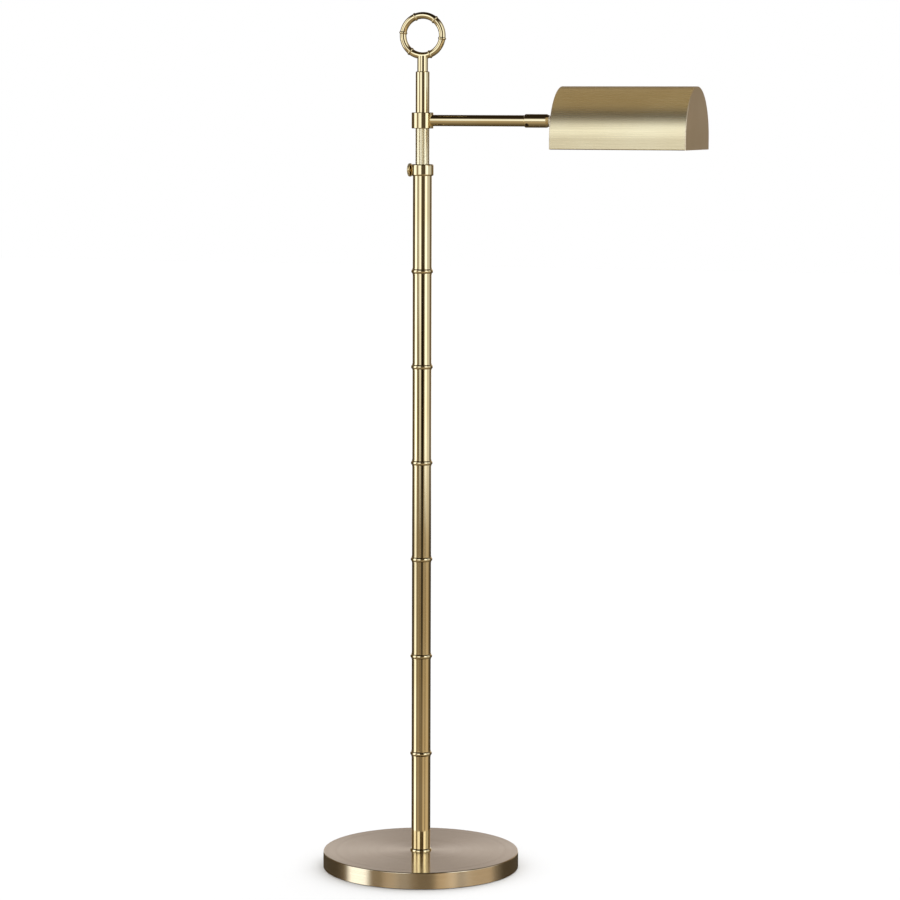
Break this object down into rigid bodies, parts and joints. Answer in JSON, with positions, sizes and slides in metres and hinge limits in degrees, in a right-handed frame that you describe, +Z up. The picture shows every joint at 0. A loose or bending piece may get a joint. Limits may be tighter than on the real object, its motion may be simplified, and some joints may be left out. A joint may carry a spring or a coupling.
{
  "type": "adjustable arm floor lamp",
  "caption": "Brass floor lamp: ringed column on a round base, sliding and turning mast with a ring finial, side arm and a tilting arched shade.",
  "frame": {"origin": "centre of the base's underside, on the floor and on the column's axis", "axes": "+Z up along the column; +X from the column along the arm to the shade; -X points along the clamping screw"},
  "size_m": [0.485, 0.256, 1.1044],
  "materials": {
    "polished_brass": "polished",
    "satin_brass": "satin",
    "brushed_brass": "brushed",
    "cap_brass": "satin",
    "base_brass": "satin polished",
    "plain_brass": "machined",
    "dark_screw": "oiled",
    "steel": "zinc plated",
    "cast_iron": "rough cast, painted",
    "felt": "felted",
    "black_bush": "moulded",
    "nylon": "turned nylon",
    "phenolic": "moulded",
    "porcelain": "unglazed",
    "bulb_metal": "rolled",
    "opal_glass": "opal"
  },
  "bodies": {
    "base": {"base_felt": "felt", "base_weight": "cast_iron", "base_cover": "base_brass", "tie_tube": "plain_brass", "tie_washer": "steel", "tie_nut": "steel", "cord_gland": "black_bush", "column_plug": "plain_brass", "foot_ring": "polished_brass", "column_tube": "polished_brass", "node_ring_1": "polished_brass", "node_ring_2": "polished_brass", "node_ring_3": "polished_brass", "node_ring_4": "polished_brass", "node_ring_5": "polished_brass", "node_ring_6": "polished_brass", "collar": "polished_brass", "collar_bush": "nylon"},
    "clamp": {"clamp_pad": "nylon"},
    "screw": {"thumb_screw": "polished_brass"},
    "guide": {"guide_bush": "nylon"},
    "mast": {"retaining_ring": "steel", "mast_tube": "satin_brass", "mast_nipple": "plain_brass", "arm_hub": "polished_brass", "top_nipple": "plain_brass", "top_tube": "polished_brass", "finial_stem": "polished_brass", "finial_ring": "polished_brass", "arm_nipple": "plain_brass", "arm_tube": "polished_brass", "arm_sleeve": "polished_brass", "sleeve_screw": "dark_screw"},
    "shade": {"swivel_stud": "plain_brass", "swivel_clip": "steel", "friction_washer": "nylon", "swivel_body": "polished_brass", "cap_washer": "polished_brass", "shade_inner_cap": "cap_brass", "shade_shell": "brushed_brass", "shade_outer_cap": "cap_brass", "lock_washer": "steel", "lock_nut": "steel", "socket_shell": "phenolic", "socket_puck": "porcelain", "screw_shell": "plain_brass", "centre_contact": "plain_brass", "bulb_cap": "bulb_metal", "bulb_glass": "opal_glass"},
    "switch": {"switch_key": "phenolic"}
  },
  "joints": [
    {"name": "mast_lift", "type": "slide", "parent": "base", "child": "guide", "axis": [0, 0, 1], "range_m": [-0.044, 0.25]},
    {"name": "mast_turn", "type": "hinge", "parent": "guide", "child": "mast", "pos_m": [0, 0, 0.6125], "axis": [0, 0, 1], "range_deg": [-170, 170]},
    {"name": "shade_tilt", "type": "hinge", "parent": "mast", "child": "shade", "pos_m": [0.16, 0, 0.9677], "axis": [1, 0, 0], "range_deg": [-90, 90]},
    {"name": "switch_turn", "type": "hinge", "parent": "shade", "child": "switch", "pos_m": [0.205, 0, 0.943], "axis": [0, 0, -1], "continuous": true},
    {"name": "screw_press", "type": "slide", "parent": "base", "child": "clamp", "axis": [-1, 0, 0], "range_m": [0, 0.002]},
    {"name": "screw_turn", "type": "hinge", "parent": "clamp", "child": "screw", "pos_m": [-0.0145, 0, 0.9049], "axis": [-1, 0, 0], "range_deg": [0, 720]}
  ],
  "couplings": [
    {"joint": "screw_press", "follows": "screw_turn", "m_per_rad": 0.00015915}
  ]
}
